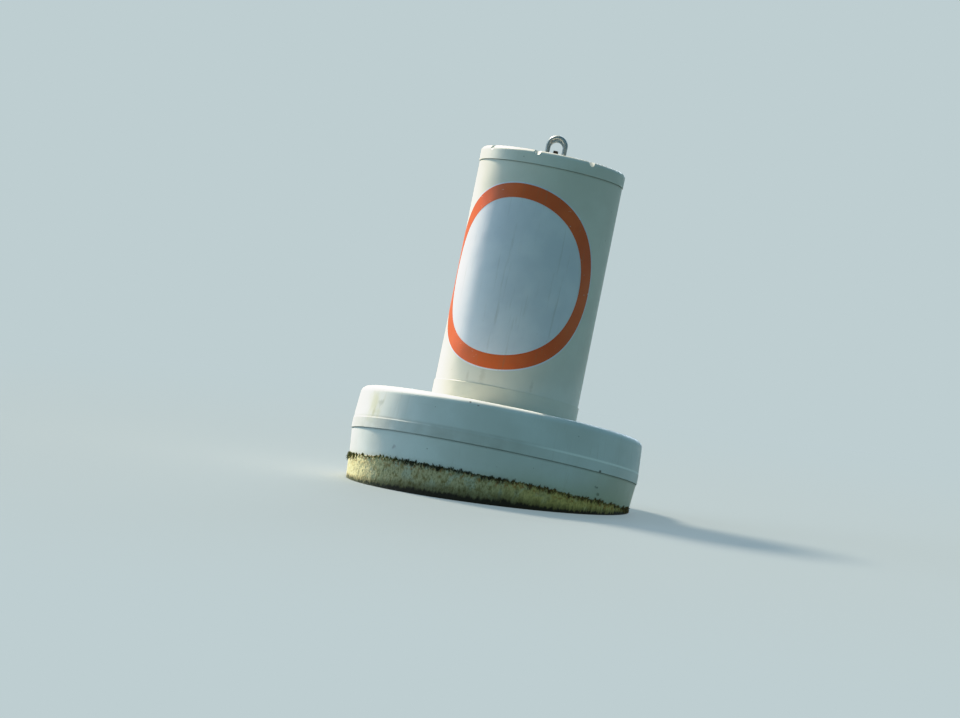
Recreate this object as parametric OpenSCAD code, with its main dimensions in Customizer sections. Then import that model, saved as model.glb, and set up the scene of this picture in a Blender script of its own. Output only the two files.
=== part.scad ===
// Navigation buoy: a white plastic can buoy standing in a round float collar.
// Millimetres, +Z up. The origin is on the buoy's axis at the waterline, and
// the face that carries the round sign looks along -Y.

/* [Column] */
// Outside diameter of the column tube
column_d = 355.6; // [300:0.1:420]
// Wall of the column tube
column_wall = 6.5; // [5:0.5:9]
// How far the tube's ends are necked in to take the caps
neck_drop = 2.9; // [1:0.1:3.5]
// Depth of the column's foot below the waterline
foot_depth = 290; // [230:5:500]

/* [Top cap] */
// Height of the cap's rim above the waterline
cap_top = 835; // [500:5:1000]
// Height of the cap from the lip of its skirt to its rim
cap_h = 34; // [28:1:60]
// Wall of the cap
cap_wall = 4.5; // [3:0.5:8]
// Round on the cap's outer top edge
cap_edge_r = 10; // [3:0.5:11]
// Width of the raised rim
rim_w = 16; // [14:1:30]
// Height of the raised rim above the deck inside it
rim_h = 10; // [7:0.5:14]
// Rise of the deck from the rim to the middle
deck_crown = 3; // [0:0.5:6]
// Number of notches scooped out of the rim's outer edge
notch_count = 8; // [4:1:12]
// Width of a notch
notch_w = 19; // [10:0.5:22]
// How far a notch's floor falls from the rim's inner edge to the cap's side
notch_fall = 12; // [8:0.5:14]

/* [Float collar] */
// Outside diameter of the collar at its joint band
collar_d = 711.2; // [600:0.1:900]
// Height of the joint between the collar's shells above the waterline
joint_z = 95; // [60:1:140]
// Height of the collar's deck above the joint
collar_rise = 106; // [80:1:160]
// Depth of the collar's bottom below the joint
collar_drop = 190; // [160:1:240]
// Wall of the collar's shells
collar_wall = 4.5; // [3:0.5:7]
// Round between the collar's deck and its side
shoulder_r = 18; // [12:1:40]
// Draft of the upper shell's side, in degrees
upper_draft = 4; // [0.5:0.1:6]
// Draft of the lower shell's side, in degrees
lower_draft = 5; // [0.5:0.1:9]
// Round between the lower shell's side and its bottom
bilge_r = 30; // [15:1:50]

/* [Collar joint] */
// Height of the band where the upper shell laps the lower one
band_h = 27; // [20:1:40]
// How far the band stands proud of the side above it
band_proud = 0.8; // [0.4:0.1:3]
// Height of the bevel on the band's top edge
band_bevel_h = 3; // [1:0.5:6]
// How far the lower shell's side is set in under the band
lower_set = 2; // [1:0.5:3]
// Open shadow gap under the band's lip
joint_reveal = 2; // [1:0.5:4]

/* [Collar rings] */
// Height of the deck ring, which holds the collar down on the column
deck_ring_h = 50; // [30:1:90]
// Height of the keel ring under the collar's bottom
keel_ring_h = 25; // [20:1:60]
// Wall of both rings
ring_wall = 2; // [1.5:0.1:8]
// Flare of a ring's foot where it meets the collar
ring_root_r = 6; // [3:1:14]

/* [Foot] */
// Floor thickness of the foot cap
foot_wall = 6; // [4:0.5:12]
// Height of the foot cap's skirt up the column
foot_skirt_h = 32; // [20:1:60]
// Round on the foot cap's lower edge
foot_edge_r = 9; // [4:0.5:10]
// Height of the iron ballast block on the foot cap's floor
ballast_h = 38; // [20:1:80]

/* [Tie rod and eyes] */
// Diameter of the rod that ties the caps together
rod_d = 12; // [10:1:14]
// Length of rod left over above the nut on the top cap
rod_end = 17; // [2:1:18]
// Diameter of the washer on the top cap
cap_washer_d = 76; // [62:1:120]
// Thickness of the washer on the top cap
cap_washer_t = 4; // [2:0.5:6]
// Inside width of the lifting eye, between its legs
lifting_gap = 31.2; // [29:0.1:40]
// Thickness of the lifting eye's legs
lifting_wire_d = 11.6; // [8:0.1:13]
// How much thicker than its legs the lifting eye's crown is
crown_extra = 6; // [3:0.5:8]
// Height of the centre of the lifting eye's arch above the cap's rim
lifting_rise = 37; // [26:1:60]
// Size of the weld round each leg of the lifting eye
weld_size = 2.5; // [1:0.5:4]
// Inside diameter of the mooring eye
mooring_bore_d = 40; // [30:1:60]
// Thickness of the mooring eye's ring
mooring_wire_d = 16; // [12:0.5:22]
// Depth of the mooring eye's centre below the lock nut
mooring_drop = 58; // [54:1:90]
// Diameter of the washer under the foot cap
foot_washer_d = 110; // [60:1:160]
// Thickness of the washer under the foot cap
foot_washer_t = 6; // [3:0.5:10]
// Height of the nuts on the rod
nut_h = 11; // [8:1:18]
// Width of the nuts across their flats
nut_flats = 21; // [19:1:24]
// Height of the round boss of the mooring eye
boss_h = 10; // [8:1:12]
// Wall of that boss round the rod
boss_wall = 6; // [4:0.5:9]

/* [Fits] */
// Radial clearance of a shell over the piece inside it
slip = 0.3; // [0.1:0.1:0.8]
// Open shadow gap under the lip of a cap
cap_reveal = 1.5; // [0.5:0.5:4]
// Radial clearance round the tie rod
rod_slip = 0.25; // [0.1:0.05:0.8]
// Radial clearance of the ballast block in the column
ballast_slip = 0.8; // [0.3:0.1:3]

/* [Hidden] */

shell_white = "#E6E4D8";
ring_cream = "#DDD6BF";
zinc_grey = "#9BA0A2";
iron_grey = "#5A5652";

// Steps of a quarter round in the profiles
arc_steps = 8;
revolve_fn = 128;
hardware_fn = 64;
// A cut or a hole runs this far past the surface it opens
past = 1;

column_r = column_d / 2;
column_in = column_r - column_wall;
neck_r = column_r - neck_drop;
rod_r = rod_d / 2;
rod_hole_r = rod_r + rod_slip;

// Levels of the top cap
notch_slope = atan(notch_fall / rim_w);
cap_in = neck_r + slip;
cap_out = cap_in + cap_wall;
cap_lip_z = cap_top - cap_h;
cap_deck_z = cap_top - rim_h;
cap_seat_z = cap_deck_z - cap_wall;
cap_middle_z = cap_deck_z + deck_crown;
rim_in = cap_out - rim_w;

// Levels of the collar
deck_z = joint_z + collar_rise;
bottom_z = joint_z - collar_drop;
band_top_z = joint_z + band_h;
lap_top_z = band_top_z - collar_wall;
shelf_z = joint_z - joint_reveal;
ring_in = column_r + slip;
ring_out = ring_in + ring_wall;

// Radii of the collar's sides
band_r = collar_d / 2;
upper_r = band_r - band_proud;
lip_in = band_r - collar_wall;
flange_out = lip_in - slip;
flange_in = flange_out - collar_wall;
lower_r = band_r - lower_set;

// Levels of the foot and of what hangs under it
foot_z = -foot_depth;
foot_lip_z = foot_z + foot_skirt_h;
foot_under_z = foot_z - foot_wall;
foot_washer_z = foot_under_z - foot_washer_t;
nut_z = foot_washer_z - nut_h;

// Levels of the hardware on the top cap and of the eyes
washer_top_z = cap_middle_z + cap_washer_t;
rod_top_z = washer_top_z + nut_h + rod_end;
lifting_z = cap_top + lifting_rise;
mooring_z = nut_z - mooring_drop;

// Points on an arc from angle a0 to a1 round a centre in the profile's plane
function arc(r, z, radius, a0, a1) =
    [for (i = [0 : arc_steps])
        let (a = a0 + (a1 - a0) * i / arc_steps)
        [r + radius * cos(a), z + radius * sin(a)]];

// Radius of the upper shell's outer side at a height
function upper_side(z) = upper_r - (z - band_top_z) * tan(upper_draft);

// Radius of the lower shell's outer side at a height
function lower_side(z) = lower_r - (shelf_z - z) * tan(lower_draft);

// The round from the drafted side to the deck, set in by inset from the outside
function shoulder(inset) =
    let (tangent_z = deck_z - shoulder_r * (1 - sin(upper_draft)),
         centre_r = upper_side(tangent_z) - shoulder_r * cos(upper_draft))
    arc(centre_r, deck_z - shoulder_r, shoulder_r - inset, 90, upper_draft);

// The round from the drafted side to the bottom, set in by inset from the outside
function bilge(inset) =
    let (tangent_z = bottom_z + bilge_r * (1 - sin(lower_draft)),
         centre_r = lower_side(tangent_z) - bilge_r * cos(lower_draft))
    arc(centre_r, bottom_z + bilge_r, bilge_r - inset, -lower_draft, -90);

// A solid of revolution about the buoy's axis
module turned(points) {
    rotate_extrude($fn = revolve_fn) polygon(points);
}

// A flat ring with a hole in its middle, its underside at z
module ring_plate(outer_d, hole_r, z, thickness) {
    translate([0, 0, z])
        difference() {
            cylinder(h = thickness, d = outer_d, $fn = hardware_fn);
            translate([0, 0, -past])
                cylinder(h = thickness + 2 * past, r = hole_r, $fn = hardware_fn);
        }
}

// Cap over the column's top: skirt, rounded edge, raised rim with a row of
// notches, and a deck that is crowned so that its middle stays dry
module top_cap() {
    rim_inner_r = 3;
    rim_foot_r = 4;
    profile = concat(
        [[cap_in, cap_lip_z], [cap_out, cap_lip_z]],
        arc(cap_out - cap_edge_r, cap_top - cap_edge_r, cap_edge_r, 0, 90),
        arc(rim_in + rim_inner_r, cap_top - rim_inner_r, rim_inner_r, 90, 180),
        arc(rim_in - rim_foot_r, cap_deck_z + rim_foot_r, rim_foot_r, 0, -90),
        [[rod_hole_r, cap_middle_z], [rod_hole_r, cap_middle_z - cap_wall], [cap_in, cap_seat_z]]);
    color(shell_white)
        difference() {
            turned(profile);
            for (i = [0 : notch_count - 1])
                rotate([0, 0, i * 360 / notch_count - 90])
                    rim_notch();
        }
}

// One notch: a round bottomed scoop whose floor starts at the rim's inner edge and
// falls to the cap's side, so that the rim's inner edge stays whole
module rim_notch() {
    scoop_r = notch_w / 2;
    scoop_l = (rim_w + past) / cos(notch_slope);
    translate([rim_in, 0, cap_top])
        rotate([0, notch_slope, 0])
            translate([0, 0, scoop_r]) {
                rotate([0, 90, 0])
                    cylinder(h = scoop_l, r = scoop_r, $fn = hardware_fn);
                translate([0, -scoop_r, 0])
                    cube([scoop_l, notch_w, notch_fall + past]);
            }
}

// Tube that runs from the foot cap up through the collar to the top cap. Both
// ends are necked in, so that the caps stand only a little proud of it, and the
// neck runs on past each cap's lip as a narrow shadow gap.
module column_tube() {
    top_shoulder_z = cap_lip_z - cap_reveal;
    foot_shoulder_z = foot_lip_z + cap_reveal;
    color(shell_white)
        turned([[column_in, foot_z], [neck_r, foot_z],
                [neck_r, foot_shoulder_z], [column_r, foot_shoulder_z],
                [column_r, top_shoulder_z], [neck_r, top_shoulder_z],
                [neck_r, cap_seat_z], [column_in, cap_seat_z]]);
}

// Ring round the column with its flared foot on z = 0 and its lip at height
module column_ring(height) {
    lip_r = 1;
    turned(concat(
        [[ring_in, 0], [ring_in, height]],
        arc(ring_out - lip_r, height - lip_r, lip_r, 90, 0),
        arc(ring_out + ring_root_r, ring_root_r, ring_root_r, 180, 260),
        [[ring_out + ring_root_r, 0]]));
}

// Ring on the deck, which shows as a low step round the column's base
module deck_ring() {
    color(ring_cream)
        translate([0, 0, deck_z])
            column_ring(deck_ring_h);
}

// The same ring turned over, under the collar's bottom
module keel_ring() {
    color(ring_cream)
        translate([0, 0, bottom_z])
            mirror([0, 0, 1])
                column_ring(keel_ring_h);
}

// Upper half of the collar: deck, rounded shoulder, drafted side, and a bevelled
// band whose lip laps over the flange of the lower half
module collar_upper() {
    outside = concat(
        [[ring_in, deck_z]],
        shoulder(0),
        [[upper_r, band_top_z], [band_r, band_top_z - band_bevel_h], [band_r, joint_z]]);
    inside = concat(
        [[lip_in, joint_z], [lip_in, lap_top_z], [upper_side(lap_top_z) - collar_wall, lap_top_z]],
        [for (i = [arc_steps : -1 : 0]) shoulder(collar_wall)[i]],
        [[ring_in, deck_z - collar_wall]]);
    color(shell_white)
        turned(concat(outside, inside));
}

// Lower half of the collar: flange inside the band, drafted side, rounded
// bilge and flat bottom
module collar_lower() {
    outside = concat(
        [[flange_in, lap_top_z], [flange_out, lap_top_z], [flange_out, shelf_z], [lower_r, shelf_z]],
        bilge(0),
        [[ring_in, bottom_z]]);
    inside = concat(
        [[ring_in, bottom_z + collar_wall]],
        [for (i = [arc_steps : -1 : 0]) bilge(collar_wall)[i]],
        [[lower_side(shelf_z - collar_wall) - collar_wall, shelf_z - collar_wall],
         [flange_in, shelf_z - collar_wall]]);
    color(shell_white)
        turned(concat(outside, inside));
}

// Cap over the column's foot, which carries the ballast
module foot_cap() {
    profile = concat(
        [[rod_hole_r, foot_z], [rod_hole_r, foot_under_z]],
        arc(cap_out - foot_edge_r, foot_under_z + foot_edge_r, foot_edge_r, -90, 0),
        [[cap_out, foot_lip_z], [cap_in, foot_lip_z], [cap_in, foot_z]]);
    color(shell_white)
        turned(profile);
}

// Plain iron block that keeps the buoy upright
module ballast_block() {
    color(iron_grey)
        ring_plate(2 * (column_in - ballast_slip), rod_hole_r, foot_z, ballast_h);
}

// Rod that draws the two caps together and joins the eyes
module tie_rod() {
    color(zinc_grey)
        translate([0, 0, nut_z - boss_h])
            cylinder(h = rod_top_z + boss_h - nut_z, r = rod_r, $fn = hardware_fn);
}

module cap_washer() {
    color(zinc_grey)
        ring_plate(cap_washer_d, rod_hole_r, cap_middle_z, cap_washer_t);
}

module foot_washer() {
    color(zinc_grey)
        ring_plate(foot_washer_d, rod_hole_r, foot_washer_z, foot_washer_t);
}

// A hexagon nut standing on z = 0, with two of its flats facing along X, towards
// the legs of the lifting eye
module nut() {
    difference() {
        rotate([0, 0, 30])
            cylinder(h = nut_h, d = nut_flats / cos(30), $fn = 6);
        translate([0, 0, -past])
            cylinder(h = nut_h + 2 * past, r = rod_hole_r, $fn = hardware_fn);
    }
}

module cap_nut() {
    color(zinc_grey)
        translate([0, 0, washer_top_z])
            nut();
}

module lock_nut() {
    color(zinc_grey)
        translate([0, 0, nut_z])
            nut();
}

// Lifting eye: a forged arch, its two legs welded to the cap washer on either side
// of the nut. A web fills in its crown, which is thicker where a hook wears it; the
// web's own arch dies out inside the legs.
module lifting_eye() {
    wire_r = lifting_wire_d / 2;
    arch_r = lifting_gap / 2 + wire_r;
    leg_h = lifting_z - washer_top_z;
    reach = arch_r + wire_r + past;
    web_half = 0.6 * wire_r;
    web_arch_r = arch_r - 0.75 * wire_r;
    web_z = lifting_gap / 2 - crown_extra - web_arch_r;
    color(zinc_grey)
        union() {
            translate([0, web_half, lifting_z])
                rotate([90, 0, 0])
                    linear_extrude(2 * web_half)
                        difference() {
                            circle(r = arch_r, $fn = hardware_fn);
                            translate([0, web_z])
                                circle(r = web_arch_r, $fn = hardware_fn);
                            translate([-reach, web_z - 2 * reach])
                                square(2 * reach);
                        }
            translate([0, 0, lifting_z])
                difference() {
                    rotate([90, 0, 0])
                        rotate_extrude($fn = hardware_fn)
                            translate([arch_r, 0])
                                circle(r = wire_r, $fn = hardware_fn);
                    translate([-reach, -reach, -reach])
                        cube([2 * reach, 2 * reach, reach]);
                }
            for (side = [-1, 1])
                translate([side * arch_r, 0, washer_top_z]) {
                    cylinder(h = leg_h, r = wire_r, $fn = hardware_fn);
                    cylinder(h = weld_size, r1 = wire_r + weld_size, r2 = wire_r, $fn = hardware_fn);
                }
        }
}

// Mooring eye: a forged eye nut that hangs under the lock nut. Its ring is worn
// flat inside, so that its hole is a short cylinder.
module mooring_eye() {
    worn = 0.4;
    wire_r = mooring_wire_d / 2;
    bore_r = mooring_bore_d / 2;
    ring_r = bore_r + wire_r - worn;
    boss_r = rod_hole_r + boss_wall;
    neck_top = mooring_drop - ring_r;
    neck_end_r = wire_r * 0.9;
    color(zinc_grey)
        translate([0, 0, nut_z])
            mirror([0, 0, 1])
                difference() {
                    union() {
                        cylinder(h = boss_h, r = boss_r, $fn = hardware_fn);
                        translate([0, 0, boss_h])
                            cylinder(h = neck_top - boss_h, r1 = boss_r, r2 = neck_end_r, $fn = hardware_fn);
                        translate([0, 0, mooring_drop])
                            rotate([90, 0, 0])
                                rotate_extrude($fn = hardware_fn)
                                    difference() {
                                        translate([ring_r, 0])
                                            circle(r = wire_r, $fn = hardware_fn);
                                        translate([0, -wire_r])
                                            square([bore_r, mooring_wire_d]);
                                    }
                    }
                    translate([0, 0, -past])
                        cylinder(h = boss_h + past, r = rod_hole_r, $fn = hardware_fn);
                }
}

top_cap();
column_tube();
deck_ring();
collar_upper();
collar_lower();
keel_ring();
foot_cap();
ballast_block();
tie_rod();
cap_washer();
cap_nut();
lifting_eye();
foot_washer();
lock_nut();
mooring_eye();
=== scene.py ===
import math

import bpy
import numpy as np
from mathutils import Matrix, Vector


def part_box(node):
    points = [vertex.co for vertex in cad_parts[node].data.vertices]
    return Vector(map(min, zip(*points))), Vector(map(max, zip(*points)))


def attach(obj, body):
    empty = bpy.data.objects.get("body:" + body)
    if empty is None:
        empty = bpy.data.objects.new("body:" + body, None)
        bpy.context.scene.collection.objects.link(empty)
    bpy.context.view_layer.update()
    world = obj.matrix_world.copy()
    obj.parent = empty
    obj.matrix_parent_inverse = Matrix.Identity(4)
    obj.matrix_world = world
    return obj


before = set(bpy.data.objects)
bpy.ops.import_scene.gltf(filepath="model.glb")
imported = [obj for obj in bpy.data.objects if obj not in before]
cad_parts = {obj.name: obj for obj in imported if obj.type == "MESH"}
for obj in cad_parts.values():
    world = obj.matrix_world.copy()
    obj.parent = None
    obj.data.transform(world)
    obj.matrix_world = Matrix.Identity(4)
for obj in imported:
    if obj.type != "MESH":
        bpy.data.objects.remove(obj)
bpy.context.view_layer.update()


# The column tube. A plain tube of off-white polyethylene, rotomoulded 14 inches across, which runs
# from the foot cap to the top cap. Sun has chalked it and rain has drawn faint streaks down it;
# below the waterline it is coated with slime, as every piece is that stays wet.

# Height of the scum line above the origin, in metres
SCUM_TOP = 0.027
# How the waterline's plane rises from the origin, per metre along X and Y, as the buoy heels
WATERLINE_SLOPE = (0.0427, 0.1316)
# Settings of a ramp that starts and ends softly, and of a mix of two colours
SMOOTH = {"interpolation_type": "SMOOTHSTEP"}
COLOURS = {"data_type": "RGBA"}


def linear(code):
    """An sRGB hex colour as linear red, green, blue and alpha."""
    share = np.array([int(code[i:i + 2], 16) for i in (1, 3, 5)]) / 255
    curve = np.where(share <= 0.04045, share / 12.92, ((share + 0.055) / 1.055) ** 2.4)
    return (*curve.tolist(), 1.0)


def per(size_mm):
    """A pattern's scale, in repeats a metre, for features of this size in millimetres."""
    return 1000 / size_mm


def add(tree, kind, *values, **settings):
    """Adds a node with its settings and links, and returns its first live output.

    Values go to the node's live sockets in their order. A setting with a capital is a socket by
    its name, and any other is a property of the node. Another node's output is linked."""
    node = tree.nodes.new("ShaderNode" + kind)
    for name, value in settings.items():
        if name[0].islower():
            setattr(node, name, value)
    wanted = list(zip([socket for socket in node.inputs if socket.enabled], values))
    wanted += [(node.inputs[name], value) for name, value in settings.items() if name[0].isupper()]
    for socket, value in wanted:
        if isinstance(value, bpy.types.NodeSocket):
            tree.links.new(value, socket)
        else:
            socket.default_value = value
    return next(socket for socket in node.outputs if socket.enabled)


def started(name):
    """A new material: its node tree, its shader, and the point in object space, in metres."""
    material = bpy.data.materials.new(name)
    material.use_nodes = True
    tree = material.node_tree
    point = add(tree, "TexCoord").node.outputs["Object"]
    return material, tree, tree.nodes["Principled BSDF"], point


def levels(tree, point):
    """The point's X, its height, and its height above the waterline's tilted plane, in metres."""
    x, y, z = add(tree, "SeparateXYZ", point).node.outputs
    along_x = add(tree, "Math", x, WATERLINE_SLOPE[0], operation="MULTIPLY")
    along_y = add(tree, "Math", y, WATERLINE_SLOPE[1], operation="MULTIPLY")
    plane = add(tree, "Math", along_x, along_y, operation="ADD")
    return x, z, add(tree, "Math", z, plane, operation="SUBTRACT")


def specks(tree, point, apart_mm, channel, rarity, width):
    """Small round specks, 1 inside and 0 outside. Of random cells this far apart, those whose
    colour's channel is over rarity hold one, which is up to width times the spacing in radius."""
    cell = add(tree, "TexVoronoi", point, Scale=per(apart_mm)).node.outputs
    picked = add(tree, "SeparateColor", cell["Color"]).node.outputs[channel]
    size = add(tree, "MapRange", picked, rarity, 1.0, **SMOOTH)
    size = add(tree, "Math", size, width, operation="MULTIPLY")
    return add(tree, "Math", cell["Distance"], size, operation="LESS_THAN")


def polyethylene(tree, point, light, dark, stain, staining):
    """Weathered moulded plastic: its colour, its roughness and its relief in metres.

    Two close tones in soft clouds, a chalky grain, rain streaks in the stain's colour, small dirt
    specks and rub marks. The relief is the mould's slight waviness and an orange peel, which is
    drawn somewhat coarser than the real one, so that it shows."""
    cloud = add(tree, "TexNoise", point, Scale=per(140), Detail=3)
    tone = add(tree, "MapRange", cloud, 0.35, 0.65, **SMOOTH)
    colour = add(tree, "Mix", tone, linear(light), linear(dark), **COLOURS)
    chalk = add(tree, "TexNoise", point, Scale=per(9), Detail=5, Roughness=0.65)
    chalky = add(tree, "MapRange", chalk, 0.3, 0.8, 0, 0.22, **SMOOTH)
    colour = add(tree, "Mix", chalky, colour, linear(dark), **COLOURS)

    downwards = add(tree, "Mapping", point, Scale=(1, 1, 1 / 16))
    streak = add(tree, "TexNoise", downwards, Scale=per(11), Detail=4, Roughness=0.6)
    streak = add(tree, "MapRange", streak, 0.54, 0.78, **SMOOTH)
    patch = add(tree, "TexNoise", point, Scale=per(190), Detail=2)
    patch = add(tree, "MapRange", patch, 0.42, 0.68, **SMOOTH)
    streaks = add(tree, "Math", streak, patch, operation="MULTIPLY")
    streaks = add(tree, "Math", streaks, staining, operation="MULTIPLY")
    colour = add(tree, "Mix", streaks, colour, linear(stain), **COLOURS)

    speck = specks(tree, point, 16, "Red", 0.86, 0.11)
    speck = add(tree, "Math", speck, 0.55, operation="MULTIPLY")
    colour = add(tree, "Mix", speck, colour, linear("#5B5340"), **COLOURS)

    round_it = add(tree, "Mapping", point, Scale=(1 / 14, 1 / 14, 1))
    rub = add(tree, "TexNoise", round_it, Scale=per(2.2), Detail=3)
    rub = add(tree, "MapRange", rub, 0.68, 0.76, **SMOOTH)
    here = add(tree, "TexNoise", point, Scale=per(70), Detail=2)
    here = add(tree, "MapRange", here, 0.5, 0.66, 0, 0.16, **SMOOTH)
    rub = add(tree, "Math", rub, here, operation="MULTIPLY")
    colour = add(tree, "Mix", rub, colour, linear("#8E8C80"), **COLOURS)

    roughness = add(tree, "MapRange", chalk, 0.3, 0.7, 0.40, 0.56, **SMOOTH)
    roughness = add(tree, "Math", roughness, streaks, operation="ADD")
    peel = add(tree, "TexNoise", point, Scale=per(3.5), Detail=2)
    peel = add(tree, "Math", peel, 0.00006, operation="MULTIPLY")
    wave = add(tree, "TexNoise", point, Scale=per(85), Detail=1)
    wave = add(tree, "Math", wave, 0.0016, operation="MULTIPLY")
    return colour, roughness, add(tree, "Math", peel, wave, operation="ADD")


def dried_slime(tree, point, x, depth, fringe, bleached, ochre):
    """The crust's colour: grey in the middle, straw yellow by the share bleached and ochre on the
    other side, with pale blotches, brown stains and grain, rusty flecks near its top, and a dark
    and broken fringe along its edge."""
    slime = add(tree, "Mix", ochre, linear("#CBBC94"), linear("#DABF76"), **COLOURS)
    slime = add(tree, "Mix", bleached, slime, linear("#F6EAB4"), **COLOURS)

    downwards = add(tree, "Mapping", point, Scale=(1, 1, 1 / 1.3))
    pale = add(tree, "TexNoise", downwards, Scale=per(22), Detail=4, Roughness=0.55)
    pale = add(tree, "MapRange", pale, 0.50, 0.60, 0, 0.8, **SMOOTH)
    high_up = add(tree, "MapRange", depth, 0.060, 0.025, 0.25, 1, **SMOOTH)
    pale = add(tree, "Math", pale, high_up, operation="MULTIPLY")
    less_ochre = add(tree, "Math", ochre, -0.75, 1.0, operation="MULTIPLY_ADD")
    pale = add(tree, "Math", pale, less_ochre, operation="MULTIPLY")
    less_bleached = add(tree, "Math", bleached, -0.7, 1.0, operation="MULTIPLY_ADD")
    pale = add(tree, "Math", pale, less_bleached, operation="MULTIPLY")
    slime = add(tree, "Mix", pale, slime, linear("#CCCBB4"), **COLOURS)

    # Brown stains and a finer grain, both fainter towards the two sides
    fainter = add(tree, "Math", bleached, -0.6, 1.0, operation="MULTIPLY_ADD")
    fainter = add(tree, "Math", ochre, -0.35, fainter, operation="MULTIPLY_ADD")
    downwards = add(tree, "Mapping", point, Scale=(1, 1, 1 / 1.2))
    brown = add(tree, "TexNoise", downwards, Scale=per(12), Detail=4, Roughness=0.6)
    brown = add(tree, "MapRange", brown, 0.50, 0.66, 0, 0.7, **SMOOTH)
    brown = add(tree, "Math", brown, fainter, operation="MULTIPLY")
    slime = add(tree, "Mix", brown, slime, linear("#85713C"), **COLOURS)
    downwards = add(tree, "Mapping", point, Scale=(1, 1, 1 / 2))
    grain = add(tree, "TexNoise", downwards, Scale=per(3.6), Detail=4, Roughness=0.6)
    grain = add(tree, "MapRange", grain, 0.44, 0.66, 0, 0.55, **SMOOTH)
    grain = add(tree, "Math", grain, fainter, operation="MULTIPLY")
    slime = add(tree, "Mix", grain, slime, linear("#6E6238"), **COLOURS)

    fleck = add(tree, "TexNoise", point, Scale=per(8), Detail=3)
    fleck = add(tree, "MapRange", fleck, 0.53, 0.63, **SMOOTH)
    near_top = add(tree, "MapRange", depth, 0.026, 0.008, **SMOOTH)
    fleck = add(tree, "Math", fleck, near_top, operation="MULTIPLY")
    fleck = add(tree, "Math", fleck, 0.7, operation="MULTIPLY")
    slime = add(tree, "Mix", fleck, slime, linear("#A8692A"), **COLOURS)

    # The fringe's tips are olive on the sunlit side, partly as painted sunlight, brown on the ochre side
    # and dark between
    olive = add(tree, "MapRange", x, -0.12, -0.20, **SMOOTH)
    tip = add(tree, "Mix", olive, linear("#20261A"), linear("#5B5A1E"), **COLOURS)
    tip = add(tree, "Mix", ochre, tip, linear("#63552A"), **COLOURS)
    downwards = add(tree, "Mapping", point, Scale=(1, 1, 1 / 1.6))
    broken = add(tree, "TexNoise", downwards, Scale=per(3.5), Detail=3, Roughness=0.6)
    broken = add(tree, "MapRange", broken, 0.36, 0.56, 0.15, 0.95, **SMOOTH)
    thinner = add(tree, "Math", bleached, -0.75, 1.0, operation="MULTIPLY_ADD")
    broken = add(tree, "Math", broken, thinner, operation="MULTIPLY")
    broken = add(tree, "Math", fringe, broken, operation="MULTIPLY")
    return add(tree, "Mix", broken, slime, tip, **COLOURS)


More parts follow.
